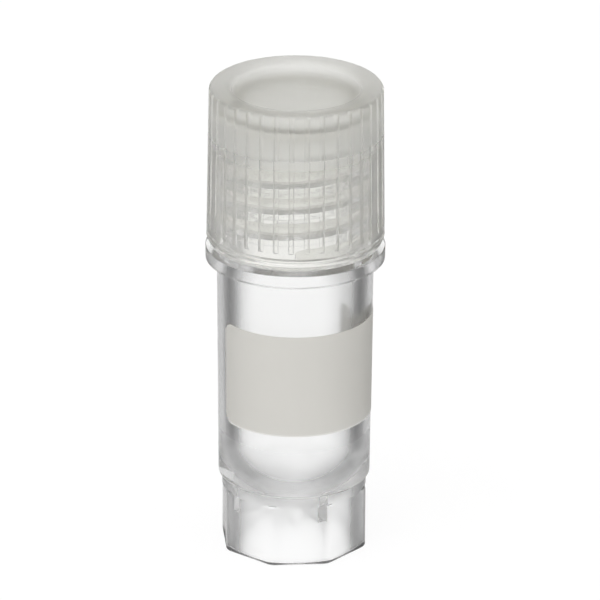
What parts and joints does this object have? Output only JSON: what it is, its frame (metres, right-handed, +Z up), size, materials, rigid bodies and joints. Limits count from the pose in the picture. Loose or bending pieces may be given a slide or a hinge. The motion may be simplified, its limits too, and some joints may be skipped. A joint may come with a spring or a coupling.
{
  "type": "cryogenic vial",
  "caption": "Self-standing cryogenic storage tube with an eight-sided foot, outside thread, ribbed screw cap and ring gasket; blank marking panel on the wall.",
  "frame": {"origin": "centre of the foot's lower face, on the tube's axis", "axes": "+Z up along the tube's axis towards the cap; flats of the eight-sided foot face +X, -X, +Y and -Y; the left edge of the marking panel lies towards -X, and it runs round by -Y past +X"},
  "size_m": [0.0144, 0.0144, 0.0395],
  "materials": {
    "vial_plastic": "clear moulded polypropylene, polished",
    "cap_plastic": "natural uncoloured polypropylene, translucent and slightly milky",
    "gasket": "uncoloured silicone rubber, matte",
    "marking_ink": "printed writing panel, matte and warm grey"
  },
  "bodies": {
    "vial": {"vial_body": "vial_plastic"},
    "gasket": {"cap_gasket": "gasket"},
    "cap": {"screw_cap": "cap_plastic"}
  },
  "joints": [
    {"name": "cap_lift", "type": "slide", "parent": "vial", "child": "gasket", "axis": [0, 0, 1], "range_m": [0, 0.0121]},
    {"name": "cap_turn", "type": "hinge", "parent": "gasket", "child": "cap", "pos_m": [0, 0, 0.0323], "axis": [0, 0, 1], "range_deg": [0, 1980]}
  ],
  "couplings": [
    {"joint": "cap_turn", "follows": "cap_lift", "rad_per_m": 2856}
  ]
}
